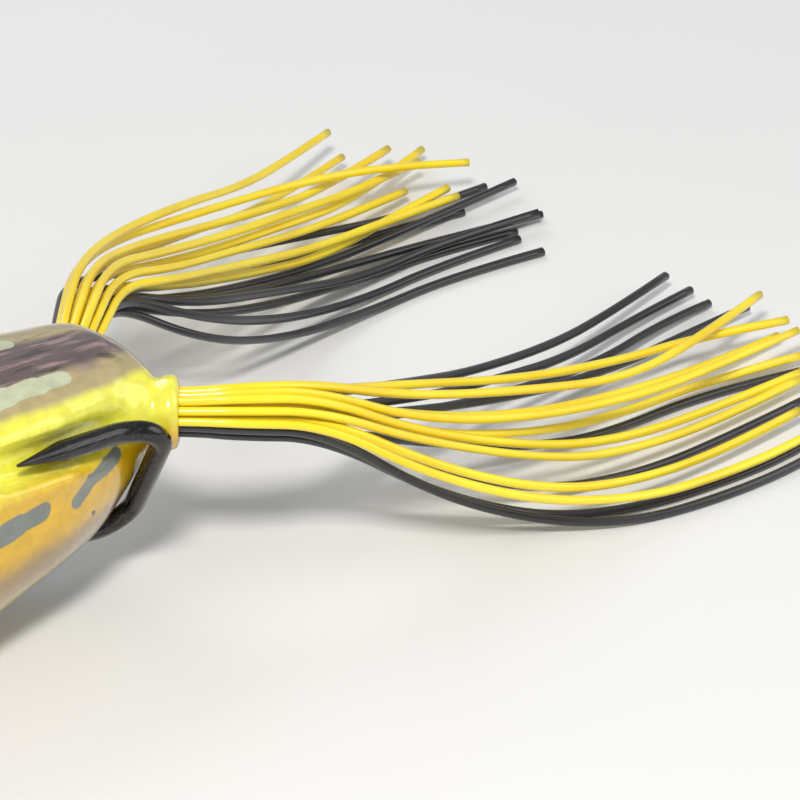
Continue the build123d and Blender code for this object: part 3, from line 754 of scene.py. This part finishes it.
def iris_material(side):
    """Printed eye: black pupil, a gold ring, and an amber iris with radial flecks."""
    n = Nodes(f"iris_{side}")
    sign = SIDES[side]
    centre = mirrored(EYE_CENTRE, sign)
    offset = n.vector("SUBTRACT", n.place, centre)
    normal = Vector(mirrored(EYE_NORMAL, sign)).normalized()
    height = n.vector("DOT_PRODUCT", offset, tuple(normal))
    away = n.math("SQRT", n.math("SUBTRACT", n.math("POWER", n.vector("LENGTH", offset), 2.0),
                                 n.math("POWER", height, 2.0)))
    flecks = n.math("MULTIPLY", n.math("SUBTRACT", n.noise(3.0, 5.0), 0.5), 0.25)
    ring = n.math("ADD", n.math("DIVIDE", away, EYE_R), n.math("MULTIPLY", flecks, 0.3))
    iris = n.ramp(ring, [
        (0.0, rgb(0.004, 0.004, 0.004)), (0.44, rgb(0.004, 0.004, 0.004)), (0.47, rgb(0.75, 0.52, 0.08)),
        (0.54, rgb(0.55, 0.26, 0.02)), (0.85, rgb(0.30, 0.10, 0.01)), (1.0, rgb(0.02, 0.015, 0.01)),
    ])
    n.color(n.mix(n.range(flecks, 0.0, 0.1, 0.0, 0.25), iris, rgb(0.8, 0.6, 0.15)))
    n.set(Roughness=0.35, Metallic=0.2)
    return n.material


def dome_material():
    n = Nodes("clear_dome")
    tint = n.mix(n.noise(0.5, 2.0), rgb(1.0, 0.99, 0.95), rgb(0.96, 0.97, 0.95))
    n.color(tint)
    n.set(Roughness=0.02, Transmission_Weight=1.0, IOR=1.45)
    return n.material


# ---------------------------------------------------------------- strands
def port_frame(side):
    yaw = math.radians(side * PORT_YAW)
    outward = np.array((math.cos(yaw), math.sin(yaw), 0.0))
    across = np.array((-math.sin(yaw), math.cos(yaw), 0.0))
    return np.array((PORT[0], side * PORT[1], PORT[2])), outward, across


def seat_of(side, slot, out=0.0, spread=1.0):
    """Centre of a strand, `out` mm outside the port's mouth."""
    mouth, outward, across = port_frame(side)
    rise = np.array((0, 0, slot[1] * ROW_PITCH * spread))
    return mouth + outward * out + across * (slot[0] * STRAND_PITCH * spread) + rise


def strand_route(name, slot, points):
    """Control points of one strand, from the back of its port to its tip."""
    side = SIDES[name]
    centre, heading = NECKS[name]
    turn = math.radians(heading)
    sideways = np.array((-math.sin(turn), math.cos(turn), 0)) * (slot[0] * NECK_SPREAD)
    neck = np.array(centre) + sideways + np.array((0, 0, slot[1] * NECK_RISE))
    held = [seat_of(side, slot, -ROOT_LENGTH), seat_of(side, slot, STRAND_START)]
    opening = [seat_of(side, slot, MOUTH_OUT, MOUTH_SPREAD), neck]
    return held + opening + [np.array(p, float) for p in points]


def smooth_line(name, points):
    """Points along the order 3 spline that has the route's points as its control points."""
    curve = bpy.data.curves.new(name, "CURVE")
    curve.dimensions = "3D"
    curve.resolution_u = 12
    spline = curve.splines.new("NURBS")
    spline.points.add(len(points) - 1)
    for place, point in zip(spline.points, points):
        place.co = (*(point * MM), 1.0)
    spline.order_u = 3
    spline.use_endpoint_u = True
    obj = bpy.data.objects.new(name, curve)
    bpy.context.scene.collection.objects.link(obj)
    mesh = bpy.data.meshes.new_from_object(obj.evaluated_get(bpy.context.evaluated_depsgraph_get()))
    line = np.array([tuple(v.co) for v in mesh.vertices]) / MM
    bpy.data.objects.remove(obj)
    bpy.data.curves.remove(curve)
    bpy.data.meshes.remove(mesh)
    return line


def strand_mesh(name, line, phase):
    """Slightly squared strand, cut off straight at its tip, twisting a little along its length."""
    tangents = np.gradient(line, axis=0)
    tangents /= np.linalg.norm(tangents, axis=1)[:, None]
    side = np.cross(tangents[0], (0.0, 0.0, 1.0))
    side /= np.linalg.norm(side)
    rings = []
    travelled = np.concatenate([[0], np.cumsum(np.linalg.norm(np.diff(line, axis=0), axis=1))])
    angles = np.arange(STRAND_SIDES) * 2 * math.pi / STRAND_SIDES
    cosine = np.cos(angles)
    sine = np.sin(angles)
    power = 2 / SQUARENESS
    square_u = np.sign(cosine) * np.abs(cosine) ** power
    square_v = np.sign(sine) * np.abs(sine) ** power
    for point, tangent, length in zip(line, tangents, travelled):
        side = side - tangent * (side @ tangent)
        side /= np.linalg.norm(side)
        up = np.cross(tangent, side)
        twist = phase + TWIST_RATE * length * math.sin(phase * 7.0)
        u = side * math.cos(twist) + up * math.sin(twist)
        v = -side * math.sin(twist) + up * math.cos(twist)
        swell = 1 + SWELL * math.sin(length * 0.31 + phase * 3)
        half_u = STRAND_WIDE * STRAND_D * swell
        half_v = STRAND_THIN * STRAND_D * swell
        rings.append(point + np.outer(square_u, u) * half_u + np.outer(square_v, v) * half_v)
    count = STRAND_SIDES
    faces = []
    for i in range(len(line) - 1):
        for j in range(count):
            k = (j + 1) % count
            faces.append((i * count + j, i * count + k, (i + 1) * count + k, (i + 1) * count + j))
    last = (len(line) - 1) * count
    faces.append(tuple(range(count - 1, -1, -1)))
    faces.append(tuple(range(last, last + count)))
    obj = mesh_object(name, np.concatenate(rings), faces)
    obj.data.polygons[-1].use_smooth = False
    obj.data.polygons[-2].use_smooth = False
    return obj


def make_strands(yellow, black):
    for name, side in SIDES.items():
        for number, (label, slot, points) in enumerate(STRANDS[name]):
            node = f"{name}_strand_{label}"
            line = smooth_line(node + "_line", strand_route(name, slot, points))
            piece = strand_mesh(node + "_silicone", line, 0.35 * number)
            is_yellow = label.startswith("yellow")
            dress(piece, yellow if is_yellow else black)
            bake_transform(piece)
            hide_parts(node, f"{name}_leg_roots")


# ---------------------------------------------------------------- body and carried-over pieces
def make_body():
    vertices, faces = surface_of(shell_field, *SURFACE_BOX, SURFACE_STEP)
    body = mesh_object("soft_lure_body", vertices, faces)
    dress(body, body_material())
    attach(body, "lure_body")
    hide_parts("body_shell")
    return body


def dress_cad_nodes():
    dress(nodes["double_hook"], wire_material())
    dress(nodes["keel_weight"], lead_material())
    dress(nodes["shank_braze"], braze_material())
    band = band_material()
    dome = dome_material()
    for name in SIDES:
        dress(nodes[f"{name}_leg_band"], band)
        dress(nodes[f"{name}_eye_dome"], dome)
        dress(nodes[f"{name}_eye_disc"], iris_material(name))


# ---------------------------------------------------------------- stage, light and camera
def area_light(name, place, target, size, power, color=(1.0, 1.0, 1.0)):
    light = bpy.data.lights.new(name, "AREA")
    light.size = size
    light.energy = power
    light.color = color
    obj = bpy.data.objects.new(name, light)
    obj.location = place
    obj.rotation_euler = (Vector(target) - Vector(place)).to_track_quat("-Z", "Y").to_euler()
    bpy.context.scene.collection.objects.link(obj)


def make_stage():
    n = Nodes("pale_floor")
    n.color(n.mix(n.noise(0.02, 2.0), rgb(0.74, 0.74, 0.73), rgb(0.78, 0.78, 0.77)))
    n.set(Roughness=0.8)
    corners = [(sx * FLOOR_HALF, sy * FLOOR_HALF, 0) for sx, sy in ((-1, -1), (1, -1), (1, 1), (-1, 1))]
    floor = mesh_object("floor", corners, [(0, 1, 2, 3)])
    dress(floor, n.material)
    world = bpy.data.worlds.new("studio")
    world.use_nodes = True
    background = world.node_tree.nodes["Background"]
    background.inputs["Color"].default_value = (0.93, 0.95, 1.0, 1.0)
    background.inputs["Strength"].default_value = 0.38
    bpy.context.scene.world = world
    middle = (0.03, 0.0, 0.01)
    area_light("key", (-0.16, -0.20, 0.34), middle, 0.07, 1.5, (1.0, 0.97, 0.92))
    area_light("fill", (0.30, -0.25, 0.22), middle, 0.30, 0.45)
    area_light("back", (0.10, 0.35, 0.28), middle, 0.25, 0.55, (0.94, 0.97, 1.0))


def make_camera():
    bpy.context.scene.view_settings.view_transform = "Standard"
    camera = bpy.data.cameras.new("camera")
    camera.sensor_width = 36
    camera.lens = CAMERA_LENS
    camera.clip_start = 0.01
    camera.clip_end = 5
    obj = bpy.data.objects.new("camera", camera)
    azimuth = math.radians(CAMERA_AZIMUTH)
    elevation = math.radians(CAMERA_ELEVATION)
    away = Vector((math.sin(azimuth) * math.cos(elevation), -math.cos(azimuth) * math.cos(elevation),
                   math.sin(elevation)))
    obj.location = Vector(CAMERA_TARGET) + away * CAMERA_DISTANCE
    obj.rotation_euler = (-away).to_track_quat("-Z", "Y").to_euler()
    bpy.context.scene.collection.objects.link(obj)
    bpy.context.scene.camera = obj


make_camera()
make_stage()
make_strands(
    silicone_material("yellow_silicone", rgb(0.90, 0.655, 0.006), rgb(0.96, 0.77, 0.018), 0.30),
    silicone_material("black_silicone", rgb(0.010, 0.010, 0.012), rgb(0.022, 0.022, 0.026), 0.36),
)
make_body()
dress_cad_nodes()
